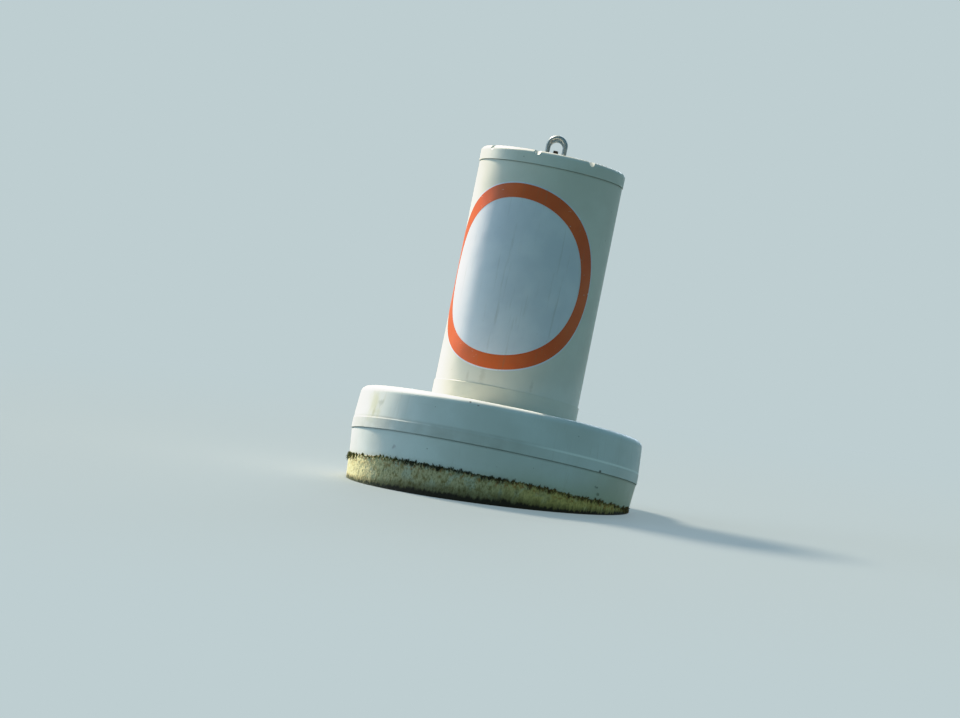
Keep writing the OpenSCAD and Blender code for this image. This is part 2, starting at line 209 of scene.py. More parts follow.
def grown_over(tree, point, colour, roughness, relief, depth=None, fringe=None):
    """Lays what grows on a hull afloat over a finish, from the ragged scum line down.

    A haze above the line, the crust of dried slime with its fringe, a soaked dark edge along the
    waterline, and green weed on what is always under it. The depth below the scum line, in
    metres, and the fringe's share are links where a piece carries them as attributes."""
    x, z, above_waterline = levels(tree, point)
    if depth is None:
        ragged = add(tree, "TexNoise", point, Scale=per(6), Detail=3, Roughness=0.6)
        ragged = add(tree, "Math", ragged, 0.012, -0.006, operation="MULTIPLY_ADD")
        ragged = add(tree, "Math", z, ragged, operation="ADD")
        depth = add(tree, "Math", SCUM_TOP, ragged, operation="SUBTRACT")
        fringe = add(tree, "MapRange", depth, 0.010, 0.004, **SMOOTH)
    bleached = add(tree, "MapRange", x, -0.14, -0.30, **SMOOTH)
    ochre = add(tree, "MapRange", x, 0.02, 0.24, **SMOOTH)

    haze = add(tree, "MapRange", depth, -0.016, 0.0, 0, 0.45, **SMOOTH)
    uneven = add(tree, "TexNoise", point, Scale=per(14), Detail=3)
    haze = add(tree, "Math", haze, uneven, operation="MULTIPLY")
    colour = add(tree, "Mix", haze, colour, linear("#A39C78"), **COLOURS)
    greening = add(tree, "MapRange", depth, -0.055, 0.0, 0, 0.42, **SMOOTH)
    greening = add(tree, "Math", greening, ochre, operation="MULTIPLY")
    colour = add(tree, "Mix", greening, colour, linear("#A5AA80"), **COLOURS)
    slime = dried_slime(tree, point, x, depth, fringe, bleached, ochre)

    # Height in the soaked edge, where 1 is the edge's top; it is thickest near X = 0
    downwards = add(tree, "Mapping", point, Scale=(1, 1, 1 / 3))
    finger = add(tree, "TexNoise", downwards, Scale=per(9), Detail=4, Roughness=0.6)
    finger = add(tree, "Math", finger, 0.026, -0.013, operation="MULTIPLY_ADD")
    aside = add(tree, "Math", x, 0.02, operation="SUBTRACT")
    aside = add(tree, "Math", aside, operation="ABSOLUTE")
    thick = add(tree, "MapRange", aside, 0.06, 0.33, 0.020, 0.008, **SMOOTH)
    soaked = add(tree, "Math", above_waterline, finger, operation="ADD")
    soaked = add(tree, "Math", soaked, thick, operation="DIVIDE")

    damp = add(tree, "MapRange", soaked, 2.2, 0.9, 0, 0.7, **SMOOTH)
    slime = add(tree, "Mix", damp, slime, linear("#5A5230"), **COLOURS)
    # On the sunlit side the soaked edge is mottled green, partly as painted reflections of the water;
    # elsewhere it is nearly black
    mottle = add(tree, "TexNoise", point, Scale=per(5), Detail=3)
    mottle = add(tree, "MapRange", mottle, 0.4, 0.62, **SMOOTH)
    wet = add(tree, "Mix", mottle, linear("#39412A"), linear("#6B6C52"), **COLOURS)
    wet = add(tree, "Mix", bleached, linear("#1F1812"), wet, **COLOURS)
    wetness = add(tree, "MapRange", soaked, 1.05, 0.5, 0, 0.95, **SMOOTH)
    slime = add(tree, "Mix", wetness, slime, wet, **COLOURS)

    downwards = add(tree, "Mapping", point, Scale=(1, 1, 1 / 5))
    strand = add(tree, "TexNoise", downwards, Scale=per(3.0), Detail=4, Roughness=0.6)
    strand = add(tree, "MapRange", strand, 0.35, 0.65, **SMOOTH)
    weed = add(tree, "Mix", strand, linear("#2F3D14"), linear("#6A7A2B"), **COLOURS)
    always_wet = add(tree, "MapRange", above_waterline, -0.006, -0.030, **SMOOTH)
    slime = add(tree, "Mix", always_wet, slime, weed, **COLOURS)

    covered = add(tree, "MapRange", depth, -0.0008, 0.0012, **SMOOTH)
    colour = add(tree, "Mix", covered, colour, slime, **COLOURS)
    drier = add(tree, "MapRange", soaked, 0.3, 1.4, 0.6, 0.85, **SMOOTH)
    roughness = add(tree, "Mix", covered, roughness, drier)
    downwards = add(tree, "Mapping", point, Scale=(1, 1, 1 / 2))
    crust = add(tree, "TexNoise", downwards, Scale=per(2.6), Detail=4, Roughness=0.7)
    crust = add(tree, "Math", crust, 0.0009, operation="MULTIPLY")
    crust = add(tree, "Math", covered, crust, operation="MULTIPLY")
    return colour, roughness, add(tree, "Math", relief, crust, operation="ADD")


def finished(tree, shader, colour, roughness, relief):
    """Joins a colour, a roughness and a relief in metres to the shader."""
    bump = add(tree, "Bump", Height=relief, Strength=1.0, Distance=1.0)
    tree.links.new(colour, shader.inputs["Base Color"])
    tree.links.new(roughness, shader.inputs["Roughness"])
    tree.links.new(bump, shader.inputs["Normal"])


def marked(tree, point, colour, radius, marks):
    """Lays ragged stains and chips on a round side of this radius; some stains are partly painted shade.

    A mark is an ellipsoid whose edge is frayed by noise. Each gives its azimuth in degrees from
    -Y towards +X and its height in metres; how far in from the side it is, its width and its
    height in millimetres; and its colour and that colour's share."""
    for azimuth, height, inset_mm, wide_mm, high_mm, tint, share in marks:
        turn = math.radians(azimuth)
        mark_r = radius - inset_mm / 1000
        centre = (mark_r * math.sin(turn), -mark_r * math.cos(turn), height)
        wide, high = wide_mm / 2000, high_mm / 2000
        scale = (1 / wide, 1 / wide, 1 / high)
        shift = [-c * s for c, s in zip(centre, scale)]
        near = add(tree, "Mapping", point, Location=shift, Scale=scale)
        away = add(tree, "VectorMath", near, operation="LENGTH")
        ragged = add(tree, "TexNoise", point, Scale=per(wide_mm / 2), Detail=3)
        ragged = add(tree, "Math", ragged, 2.0, -1.0, operation="MULTIPLY_ADD")
        away = add(tree, "Math", away, ragged, operation="ADD")
        cover = add(tree, "MapRange", away, 1.3, 0.2, 0, share, **SMOOTH)
        colour = add(tree, "Mix", cover, colour, linear(tint), **COLOURS)
    return colour


def dress(node, material):
    """Gives a CAD node its finish."""
    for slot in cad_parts[node].material_slots:
        slot.material = material


column_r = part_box("column_tube")[1].x
cap_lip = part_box("top_cap")[0].z

# Rotomoulded and left as it came from the mould: a waxy off-white, gone dull and chalky in the sun,
# whose broad, faint waves make the light along it wander
material, tree, shader, point = started("rotomoulded polyethylene, column")
shader.inputs["IOR"].default_value = 1.5
colour, roughness, relief = polyethylene(tree, point, "#E8E5DA", "#DEDACE", "#B5AC92", 0.26)
column_marks = (
    # azimuth, height, inset, width, length, colour, share
    (-8, 0.272, 0, 16, 46, "#A59C86", 0.22),
    (-21, 0.266, 0, 9, 30, "#A59C86", 0.22),
    (32, 0.268, 0, 10, 34, "#A59C86", 0.22),
    (198, 0.68, 0, 16, 230, "#A59C86", 0.4),
    (214, 0.73, 0, 9, 130, "#A59C86", 0.45),
    (251, 0.66, 0, 20, 260, "#A59C86", 0.35),
    (228, 0.34, 0, 60, 90, "#A59C86", 0.3),
    (205, 0.45, 0, 34, 26, "#A59C86", 0.35),
)
colour = marked(tree, point, colour, column_r, column_marks)
height = levels(tree, point)[1]
# Dirt and painted shade in the shelter of the cap's lip
grime_and_shade = add(tree, "MapRange", height, cap_lip - 0.007, cap_lip - 0.001, 0, 0.22, **SMOOTH)
colour = add(tree, "Mix", grime_and_shade, colour, linear("#5C5F55"), **COLOURS)
colour, roughness, relief = grown_over(tree, point, colour, roughness, relief)
finished(tree, shader, colour, roughness, relief)
dress("column_tube", material)


# The float collar's lower half. A moulded shell whose side leans in towards a rounded bilge. Its
# upper part is as clean as the column; the scum line crosses it in a band of growth.

hull_low, hull_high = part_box("collar_lower")
upper_low, upper_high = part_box("collar_upper")
joint_z = upper_low.z

# The column's plastic, a little bluer, partly as painted cool light, with a dark line of dirt and
# painted shade under the joint, and darker and yellower towards +X
material, tree, shader, point = started("rotomoulded polyethylene, hull")
shader.inputs["IOR"].default_value = 1.5
colour, roughness, relief = polyethylene(tree, point, "#E3E8E7", "#D8DBD8", "#A89F84", 0.24)
hull_marks = (
    # azimuth, height, inset, width, length, colour, share
    (-29, 0.056, 0, 15, 11, "#8E7C84", 0.55),
    (60.8, 0.058, 0, 12, 7, "#20261A", 0.95),
    (62.5, 0.042, 0, 14, 9, "#20261A", 0.95),
)
colour = marked(tree, point, colour, hull_high.x, hull_marks)
x, height = levels(tree, point)[:2]
# Darker and yellower towards +X, and dirt and painted shade in the shelter of the joint
darker_to_plus_x = add(tree, "MapRange", x, 0.24, 0.35, **SMOOTH)
colour = add(tree, "Mix", darker_to_plus_x, colour, linear("#E7E7D8"), blend_type="MULTIPLY", **COLOURS)
grime_and_shade = add(tree, "MapRange", height, joint_z - 0.007, joint_z - 0.002, 0, 0.25, **SMOOTH)
colour = add(tree, "Mix", grime_and_shade, colour, linear("#565E58"), **COLOURS)
colour, roughness, relief = grown_over(tree, point, colour, roughness, relief)
finished(tree, shader, colour, roughness, relief)
dress("collar_lower", material)


# The float collar's upper half. The deck, shoulder and side in one moulding, with the joint band
# that laps over the lower half. The deck holds dust and droppings, and its shoulder has a chip.

# Height of the ledge on top of the joint band
BAND_H = 0.027
ledge = joint_z + BAND_H


def settled(tree, point, colour, gather, tint, share):
    """Dirt that settles on faces that look up: blotches, the edges of dried puddles, and a deposit
    that thickens from gather's first radius to its second, in metres from the buoy's axis."""
    normal = add(tree, "NewGeometry").node.outputs["Normal"]
    facing = add(tree, "SeparateXYZ", normal).node.outputs["Z"]
    facing = add(tree, "MapRange", facing, 0.8, 0.98, **SMOOTH)
    level = add(tree, "VectorMath", point, (1, 1, 0), operation="MULTIPLY")
    radius = add(tree, "VectorMath", level, operation="LENGTH")
    gathered = add(tree, "MapRange", radius, *gather, **SMOOTH)
    blotch = add(tree, "TexNoise", point, Scale=per(55), Detail=4, Roughness=0.6)
    blotch = add(tree, "MapRange", blotch, 0.48, 0.66, 0, 0.6, **SMOOTH)
    puddle = add(tree, "TexNoise", point, Scale=per(90), Detail=2)
    puddle = add(tree, "Math", puddle, 0.5, operation="SUBTRACT")
    puddle = add(tree, "Math", puddle, operation="ABSOLUTE")
    puddle = add(tree, "MapRange", puddle, 0.012, 0.003, 0, 0.45, **SMOOTH)
    deposit = add(tree, "Math", blotch, puddle, operation="MAXIMUM")
    deposit = add(tree, "Math", gathered, deposit, operation="MAXIMUM")
    fine = add(tree, "TexNoise", point, Scale=per(5), Detail=4, Roughness=0.6)
    fine = add(tree, "MapRange", fine, 0.35, 0.65, 0.35, 1, **SMOOTH)
    amount = add(tree, "Math", deposit, fine, operation="MULTIPLY")
    amount = add(tree, "Math", amount, facing, operation="MULTIPLY")
    amount = add(tree, "Math", amount, share, operation="MULTIPLY")
    return add(tree, "Mix", amount, colour, linear(tint), **COLOURS)


# The same plastic, its bluer tone again partly painted cool light, with more rain streaks, a dirty deck,
# and a joint band whose ledge gathers dirt on one side and carries a painted highlight along its edge on
# the other
material, tree, shader, point = started("rotomoulded polyethylene, deck")
shader.inputs["IOR"].default_value = 1.5
colour, roughness, relief = polyethylene(tree, point, "#E5E9E8", "#DADDDA", "#A59C80", 0.3)
front_marks = (
    # azimuth, height, inset, width, length, colour, share
    # The first three are stains on the sunlit side near the edge of the shade, partly dirt and partly
    # painted shade of the surface's waves
    (-47, 0.150, 0, 62, 74, "#C4C29C", 0.55),
    (-42, 0.157, 0, 22, 22, "#8E9086", 0.4),
    (-46, 0.133, 0, 18, 26, "#ACA684", 0.4),
    (0.5, 0.193, 8, 6, 5, "#3B3D36", 0.95),
    (4.0, 0.188, 6, 5, 4, "#6B4A40", 0.9),
    (60.3, 0.097, 0, 10, 7, "#23281D", 0.95),
)
colour = marked(tree, point, colour, upper_high.x, front_marks)
x, height = levels(tree, point)[:2]
# Dirt on the band and its ledge, except on +X, where a painted highlight lies along the ledge's edge
on_ledge = add(tree, "MapRange", height, ledge + 0.007, ledge + 0.001, 0, 0.4, **SMOOTH)
uneven = add(tree, "TexNoise", point, Scale=per(40), Detail=2)
on_ledge = add(tree, "Math", on_ledge, uneven, operation="MULTIPLY")
dirty_side = add(tree, "MapRange", x, 0.24, 0.10, **SMOOTH)
on_ledge = add(tree, "Math", on_ledge, dirty_side, operation="MULTIPLY")
colour = add(tree, "Mix", on_ledge, colour, linear("#77705C"), **COLOURS)
# A painted highlight along the ledge's edge on +X, where the bevel catches light
over_band = add(tree, "MapRange", height, ledge - 0.005, ledge - 0.002, **SMOOTH)
under_side = add(tree, "MapRange", height, ledge + 0.003, ledge, **SMOOTH)
painted_ledge_highlight = add(tree, "Math", over_band, under_side, operation="MULTIPLY")
ledge_highlight_side = add(tree, "MapRange", x, 0.12, 0.28, **SMOOTH)
painted_ledge_highlight = add(tree, "Math", painted_ledge_highlight, ledge_highlight_side, operation="MULTIPLY")
colour = add(tree, "Mix", painted_ledge_highlight, colour, linear("#FFFFFA"), **COLOURS)
colour = settled(tree, point, colour, (0.235, 0.184), "#8E866A", 0.75)
back_marks = (
    # azimuth, height, inset, width, length, colour, share
    (206, 0.155, 0, 40, 30, "#9A927A", 0.4),
    (226, 0.17, 0, 12, 60, "#9A927A", 0.4),
    (243, 0.14, 0, 60, 16, "#9A927A", 0.4),
)
colour = marked(tree, point, colour, upper_high.x, back_marks)
finished(tree, shader, colour, roughness, relief)
dress("collar_upper", material)


# The deck ring and the keel ring. Cream moulded rings that grip the column above and below the
# collar; the deck ring shows as a low step, and dirt has settled along it.

# A creamier plastic of the same make, and the most streaked, since the column drains over it
material, tree, shader, point = started("moulded polyethylene, rings")
shader.inputs["IOR"].default_value = 1.5
colour, roughness, relief = polyethylene(tree, point, "#E4E1D3", "#DAD6C6", "#A39877", 0.4)
colour, roughness, relief = grown_over(tree, point, colour, roughness, relief)
finished(tree, shader, colour, roughness, relief)
dress("deck_ring", material)
dress("keel_ring", material)


# The top cap and the foot cap. Shallow mouldings pushed over the column's ends; the top one has
# a raised rim with drain notches, and its deck is the dirtiest part that stays dry.

# The column's plastic, with brown dirt that lies along the rim and rust that has run from the rod
material, tree, shader, point = started("rotomoulded polyethylene, caps")
shader.inputs["IOR"].default_value = 1.5
colour, roughness, relief = polyethylene(tree, point, "#E8E7DF", "#DDDBD0", "#A39A7C", 0.4)
colour = settled(tree, point, colour, (0.128, 0.160), "#857D63", 0.8)
colour = settled(tree, point, colour, (0.072, 0.040), "#8A5B36", 0.6)
colour, roughness, relief = grown_over(tree, point, colour, roughness, relief)
finished(tree, shader, colour, roughness, relief)
dress("top_cap", material)
dress("foot_cap", material)


# The round sign. Cast vinyl film stuck round the column: a white film with a narrow border, and
# an orange ring of printed film on it. The white disc inside the ring is blank.

# Height of the sign's middle in metres, and how far it is turned from -Y towards +X
SIGN_Z = 0.5205
SIGN_TURN = math.radians(-5)
SIGN_BORDER_R = 0.2322
SIGN_RING_OUT_R = 0.2286
SIGN_RING_IN_R = 0.1932
FILM_THICKNESS = 0.0003
# How deep a film's edge is tucked into what it is stuck on, so that no gap shows there
FILM_TUCK = 0.0004
FILM_COLUMNS = 256


def mesh_piece(name, points, faces, material):
    """A piece from arrays of points in metres and of faces, which are triangles or quads."""
    mesh = bpy.data.meshes.new(name)
    mesh.from_pydata(points.tolist(), [], [f for block in faces for f in block.tolist()])
    mesh.materials.append(material)
    mesh.polygons.foreach_set("use_smooth", np.ones(len(mesh.polygons), bool))
    mesh.set_sharp_from_angle(angle=math.radians(40))
    mesh.update()
    made = bpy.data.objects.new(name, mesh)
    bpy.context.scene.collection.objects.link(made)
    return made


def closed_grid(rows, columns):
    """Quads of a grid of points whose last column meets its first."""
    i, j = np.meshgrid(np.arange(rows - 1), np.arange(columns), indexing="ij")
    k = (j + 1) % columns
    here, below = i * columns, (i + 1) * columns
    return np.stack([here + j, here + k, below + k, below + j], -1).reshape(-1, 4)


def film(name, inner_r, outer_r, under, material):
    """A round film bent over the column.

    A flat point at radius rho and angle phi goes to the azimuth rho cos(phi) / column radius and
    to the height rho sin(phi) over the sign's middle, at the column's radius plus the film's.
    The surface starts inside what it is stuck on, turns over its outer edge, and ends in the
    middle or turns in again over the inner edge."""
    top = under + FILM_THICKNESS
    disc = inner_r == 0
    rings = np.linspace(outer_r, 0.002 if disc else inner_r, 40 if disc else 3)
    lift = [(outer_r + 0.0001, under - FILM_TUCK), (outer_r, under), (outer_r, top)]
    lift += [(rho, top) for rho in rings[1:]]
    if not disc:
        lift += [(inner_r, under - FILM_TUCK)]
    lift = np.array(lift)
    phi = np.linspace(0, 2 * math.pi, FILM_COLUMNS, endpoint=False)
    rho, out = lift[:, :1], column_r + lift[:, 1:]
    azimuth = SIGN_TURN + rho * np.cos(phi) / column_r
    height = SIGN_Z + rho * np.sin(phi) + 0 * out
    points = np.stack([out * np.sin(azimuth), -out * np.cos(azimuth), height], -1).reshape(-1, 3)
    faces = [closed_grid(len(lift), FILM_COLUMNS)]
    if disc:
        middle_r = column_r + top
        middle = (middle_r * math.sin(SIGN_TURN), -middle_r * math.cos(SIGN_TURN), SIGN_Z)
        last_ring = (len(lift) - 1) * FILM_COLUMNS + np.arange(FILM_COLUMNS)
        hub = np.full(FILM_COLUMNS, len(points))
        faces.append(np.stack([last_ring, np.roll(last_ring, -1), hub], -1))
        points = np.vstack([points, middle])
    return mesh_piece(name, points, faces, material)


def vinyl(name, light, dark, worn, wear):
    """Cast vinyl film: even and smooth, a little faded in clouds, with pinholes and fine scratches
    through which a paler layer shows. The scratches are drawn coarser than real ones to show."""
    material, tree, shader, point = started(name)
    shader.inputs["Specular IOR Level"].default_value = 0.35
    faded = add(tree, "TexNoise", point, Scale=per(110), Detail=3)
    faded = add(tree, "MapRange", faded, 0.35, 0.65, **SMOOTH)
    colour = add(tree, "Mix", faded, linear(light), linear(dark), **COLOURS)
    downwards = add(tree, "Mapping", point, Scale=(1, 1, 1 / 14))
    streak = add(tree, "TexNoise", downwards, Scale=per(9), Detail=4, Roughness=0.6)
    streak = add(tree, "MapRange", streak, 0.55, 0.8, 0, 0.25, **SMOOTH)
    colour = add(tree, "Mix", streak, colour, linear("#8C8266"), **COLOURS)

    hole = specks(tree, point, 13, "Green", 0.9, 0.16)
    round_it = add(tree, "Mapping", point, Scale=(1 / 16, 1 / 16, 1))
    scratch = add(tree, "TexNoise", round_it, Scale=per(1.4), Detail=2)
    scratch = add(tree, "MapRange", scratch, 0.735, 0.76, **SMOOTH)
    lost = add(tree, "Math", hole, scratch, operation="MAXIMUM")
    lost = add(tree, "Math", lost, wear, operation="MULTIPLY")
    colour = add(tree, "Mix", lost, colour, linear(worn), **COLOURS)

    roughness = add(tree, "TexNoise", point, Scale=per(24), Detail=4, Roughness=0.6)
    roughness = add(tree, "MapRange", roughness, 0.3, 0.7, 0.34, 0.50, **SMOOTH)
    ripple = add(tree, "TexNoise", point, Scale=per(60), Detail=1)
    ripple = add(tree, "Math", ripple, 0.0009, operation="MULTIPLY")
    texture = add(tree, "TexNoise", point, Scale=per(4), Detail=2)
    texture = add(tree, "Math", texture, 0.00003, operation="MULTIPLY")
    finished(tree, shader, colour, roughness, add(tree, "Math", ripple, texture, operation="ADD"))
    return material


# Films with a satin face: a cool white, and a warm orange whose scratches show pale
white_film = vinyl("cast vinyl film, white", "#EAEBF3", "#DFE1EB", "#B9B7A8", 0.25)
orange_film = vinyl("cast vinyl film, orange", "#EC6A30", "#E05E26", "#EBD9C8", 0.8)
sign_face = film("sign_face", 0, SIGN_BORDER_R, 0, white_film)
sign_ring = film("sign_ring", SIGN_RING_IN_R, SIGN_RING_OUT_R, FILM_THICKNESS, orange_film)
for piece, slot in ((sign_face, "sign_film_white"), (sign_ring, "sign_film_orange")):
    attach(piece, "root")


# The growth on the hull. A dried crust of slime below the scum line, short tufts along its top
# edge, olive on -X, brown on +X and dark between, and green weed below the waterline.

# The lower half's form, as it was moulded: its side's lean, its bilge and its top edge's height
HULL_DRAFT = math.radians(5)
BILGE_R = 0.030
SHELF_Z = 0.093
side_slope = math.tan(HULL_DRAFT)
bilge_top = hull_low.z + BILGE_R * (1 - math.sin(HULL_DRAFT))
bilge_centre_r = hull_high.x - (SHELF_Z - bilge_top) * side_slope - BILGE_R * math.cos(HULL_DRAFT)
# The growth starts a little above the scum line, so that its ragged edge has room
GROWTH_TOP = SCUM_TOP + 0.012


def hull_skin(run):
    """Radius, height and outward slope of the hull's skin at a run in metres down from the top of
    the growth: straight down the drafted side, round the bilge's arc, and in under the bottom."""
    side_run = (GROWTH_TOP - bilge_top) / math.cos(HULL_DRAFT)
    arc_run = BILGE_R * (math.pi / 2 - HULL_DRAFT)
    top_r = hull_high.x - (SHELF_Z - GROWTH_TOP) * side_slope
    turn = -HULL_DRAFT - np.clip((run - side_run) / BILGE_R, 0, math.pi / 2 - HULL_DRAFT)
    down = np.minimum(run, side_run)
    under = np.maximum(run - side_run - arc_run, 0)
    side_r, side_z = top_r - down * math.sin(HULL_DRAFT), GROWTH_TOP - down * math.cos(HULL_DRAFT)
    arc_r, arc_z = bilge_centre_r + BILGE_R * np.cos(turn), hull_low.z + BILGE_R + BILGE_R * np.sin(turn)
    on_side = run < side_run
    return np.where(on_side, side_r, arc_r) - under, np.where(on_side, side_z, arc_z), turn


def relief_field(rows, columns, seed, stretch, power):
    """Random relief that meets itself round the buoy: white noise with its waves weakened by
    their frequency to a power, drawn out down the rows by stretch, with unit spread."""
    white = np.random.default_rng(seed).standard_normal((2 * rows, columns))
    across = np.fft.rfftfreq(columns)[None, :]
    down = np.fft.fftfreq(2 * rows)[:, None] * stretch
    waves = np.fft.rfft2(white) * (np.hypot(across, down) + 0.004) ** -power
    field = np.fft.irfft2(waves, white.shape)[:rows]
    return (field - field.mean()) / field.std()


def fray(columns, seed, spread):
    """How far the growth's top edge strays up or down round the buoy, in metres."""
    wide = relief_field(1, columns, seed, 1, 1.1)[0]
    fine = relief_field(1, columns, seed + 1, 1, 0.4)[0]
    return spread * (wide + 0.8 * fine)


# Slime and algae, dried on in layers: a matt and lumpy crust, rough as bark, that only shines
# where it is soaked
material, tree, shader, point = started("dried slime and algae")
shader.inputs["Specular IOR Level"].default_value = 0.2
colour, roughness, relief = polyethylene(tree, point, "#C9C19A", "#B7AE84", "#6E6338", 0.5)
depth = add(tree, "Attribute", attribute_name="depth").node.outputs["Fac"]
fringe = add(tree, "Attribute", attribute_name="fringe").node.outputs["Fac"]
colour, roughness, relief = grown_over(tree, point, colour, roughness, relief, depth, fringe)
finished(tree, shader, colour, roughness, relief)

# The crust is a grid of runs down the hull and turns round it. Its top edge wanders, and rises in
# clumps; from there it stands out from the hull's skin by a lumpy thickness that is full after
# a few millimetres, and above the edge and at both ends it dips under the skin
CRUST_ROWS, CRUST_COLUMNS = 83, 1200
CRUST_LENGTH = 0.205
CRUST_EASE = 0.0035
CRUST_THICK, CRUST_LUMPS = 0.00075, 0.00042
EDGE_TUCK, END_TUCK = 0.0008, 0.0015
# How far down the fringe reaches between clumps, how much further in one, and where it fades
FRINGE_LEAST, FRINGE_CLUMP, FRINGE_FADE = 0.0065, 0.0075, 0.006
crust_run = np.linspace(0.0, CRUST_LENGTH, CRUST_ROWS)[:, None]
turn_round = np.linspace(0, 2 * math.pi, CRUST_COLUMNS, endpoint=False)
wander = fray(CRUST_COLUMNS, 11, 0.0014)
clump = relief_field(1, CRUST_COLUMNS, 31, 0.5, 0.45)[0]
clump = np.clip(0.5 + 0.42 * (clump + np.roll(clump, 1) + np.roll(clump, -1)) / 2, 0, 1)
edge = (GROWTH_TOP - SCUM_TOP) + wander - 0.002 * clump ** 2
inside = np.clip((crust_run - edge) / CRUST_EASE, -1, 1)
lumps = 0.6 * relief_field(CRUST_ROWS, CRUST_COLUMNS, 21, 0.8, 0.9)
lumps += 0.4 * relief_field(CRUST_ROWS, CRUST_COLUMNS, 22, 0.6, 0.3)
thickness = CRUST_THICK + CRUST_LUMPS * np.clip(lumps, -1.4, 2.6)
stand_out = inside * np.where(inside > 0, thickness, EDGE_TUCK)
stand_out[[0, -1]] = -END_TUCK
skin_r, skin_z, skin_turn = hull_skin(crust_run)
crust_r = skin_r + stand_out * np.cos(skin_turn)
crust_z = skin_z + stand_out * np.sin(skin_turn) + 0 * turn_round
points = np.stack([crust_r * np.cos(turn_round), crust_r * np.sin(turn_round), crust_z], -1)
quads = closed_grid(CRUST_ROWS, CRUST_COLUMNS)[:, ::-1]
scum_crust = mesh_piece("scum_crust", points.reshape(-1, 3), [quads], material)
depth_below = crust_run - edge
fringe_reach = FRINGE_LEAST + FRINGE_CLUMP * clump ** 1.3
fringe_share = np.clip((fringe_reach - depth_below) / FRINGE_FADE, 0, 1)
for name, values in (("depth", depth_below), ("fringe", fringe_share)):
    layer = scum_crust.data.attributes.new(name, "FLOAT", "POINT")
    layer.data.foreach_set("value", values.astype(np.float32).ravel())
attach(scum_crust, "root")


ROOT_DEPTH = 0.0004


def blades(name, rng, angle, run, length, width, lean, spread, material):
    """Tapered, drooping blades rooted in the hull's skin.

    Each starts along the skin's normal, leaned by lean down the skin and turned by a random
    share of spread, and falls with the square of the way along it. Three rings of three points
    and a tip make one closed blade."""
    count = len(angle)
    r, z, turn = hull_skin(run)
    radial = np.stack([np.cos(angle), np.sin(angle), 0 * angle], -1)
    round_it = np.stack([-np.sin(angle), np.cos(angle), 0 * angle], -1)
    up = np.array([0.0, 0.0, 1.0])
    normal = radial * np.cos(turn)[:, None] + up * np.sin(turn)[:, None]
    down_skin = radial * np.sin(turn)[:, None] - up * np.cos(turn)[:, None]
    way = normal + down_skin * lean[:, None] + spread * rng.standard_normal((count, 3))
    way += round_it * (0.5 * spread * rng.standard_normal(count))[:, None]
    inward = np.minimum(np.sum(way * normal, 1) - 0.25, 0)
    way -= normal * inward[:, None]
    way /= np.linalg.norm(way, axis=1, keepdims=True)
    side = np.cross(way, round_it + 0.01 * up)
    side /= np.linalg.norm(side, axis=1, keepdims=True)
    other = np.cross(way, side)
    root = radial * r[:, None] + up * z[:, None] - normal * ROOT_DEPTH
    steps = np.array([0.0, 0.45, 0.8, 1.0])[None, :, None]
    fall = 0.35 * steps ** 2 * (-up)
    spine = root[:, None] + length[:, None, None] * (way[:, None] * steps + fall)
    around = np.arange(3) * 2 * math.pi / 3
    thick = width[:, None] * np.array([1.0, 0.85, 0.5])[None]
    ring = side[:, None, None] * np.cos(around)[None, None, :, None]
    ring = ring + other[:, None, None] * np.sin(around)[None, None, :, None]
    tubes = spine[:, :3, None] + ring * thick[:, :, None, None]
    points = np.concatenate([tubes.reshape(count, 9, 3), spine[:, 3:4]], 1).reshape(-1, 3)
    first = (10 * np.arange(count))[:, None, None]
    sides = closed_grid(3, 3)
    tips = np.array([[6, 7, 9], [7, 8, 9], [8, 6, 9], [2, 1, 0]])
    faces = [(sides[None] + first).reshape(-1, 4), (tips[None] + first).reshape(-1, 3)]
    made = mesh_piece(name, points, faces, material)
    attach(made, "root")


# Algae dried to short stiff hairs: matt and nearly black, with an olive cast on the sunlit side, partly
# painted sunlight, and a brown one on the other
material, tree, shader, point = started("dried algae tufts")
shade = add(tree, "TexNoise", point, Scale=per(6), Detail=2)
shade = add(tree, "MapRange", shade, 0.35, 0.65, **SMOOTH)
x = levels(tree, point)[0]
dark = add(tree, "Mix", shade, linear("#1C2415"), linear("#433F22"), **COLOURS)
olive = add(tree, "Mix", shade, linear("#4A4F12"), linear("#7A742A"), **COLOURS)
brown = add(tree, "Mix", shade, linear("#443F22"), linear("#8C6830"), **COLOURS)
# Olive where the sun falls, partly as painted sunlight
sunlit_side = add(tree, "MapRange", x, -0.12, -0.20, **SMOOTH)
colour = add(tree, "Mix", sunlit_side, dark, olive, **COLOURS)
ochre_side = add(tree, "MapRange", x, 0.06, 0.20, **SMOOTH)
colour = add(tree, "Mix", ochre_side, colour, brown, **COLOURS)
shader.inputs["Roughness"].default_value = 0.8
tree.links.new(colour, shader.inputs["Base Color"])

# Most tufts stand in bundles with a common length and lean; short single blades fill the line.
# On the side that the sun bleaches the bundles are thin and single blades few, so that each
# stands out; on the other side there are fewer of both
BUNDLES, IN_BUNDLE, SINGLES = 1200, 8, 5500
BUNDLE_SPREAD = 0.0016 / hull_high.x
rng = np.random.default_rng(5)
bundle = rng.uniform(0, 2 * math.pi, BUNDLES)
sunny = np.clip(-2.4 * np.cos(bundle), 0, 1)
shady = np.clip(2 * np.cos(bundle) - 0.5, 0, 1)
here = clump[(bundle / (2 * math.pi) * CRUST_COLUMNS).astype(int)]
kept = rng.uniform(-0.1, 0.9, BUNDLES) < here + 0.15 * sunny - 0.35 * shady
bundle, sunny = bundle[kept], sunny[kept]
shape = (len(bundle), IN_BUNDLE)
angle = bundle[:, None] + BUNDLE_SPREAD * (1 - 0.7 * sunny[:, None]) * rng.standard_normal(shape)
length = rng.uniform(0.005, 0.012, (len(bundle), 1)) * rng.uniform(0.5, 1.0, shape)
lean = rng.choice([-3.0, -1.6, 1.2], (len(bundle), 1), p=[0.5, 0.25, 0.25])
lean = lean + 0.5 * rng.standard_normal(shape)
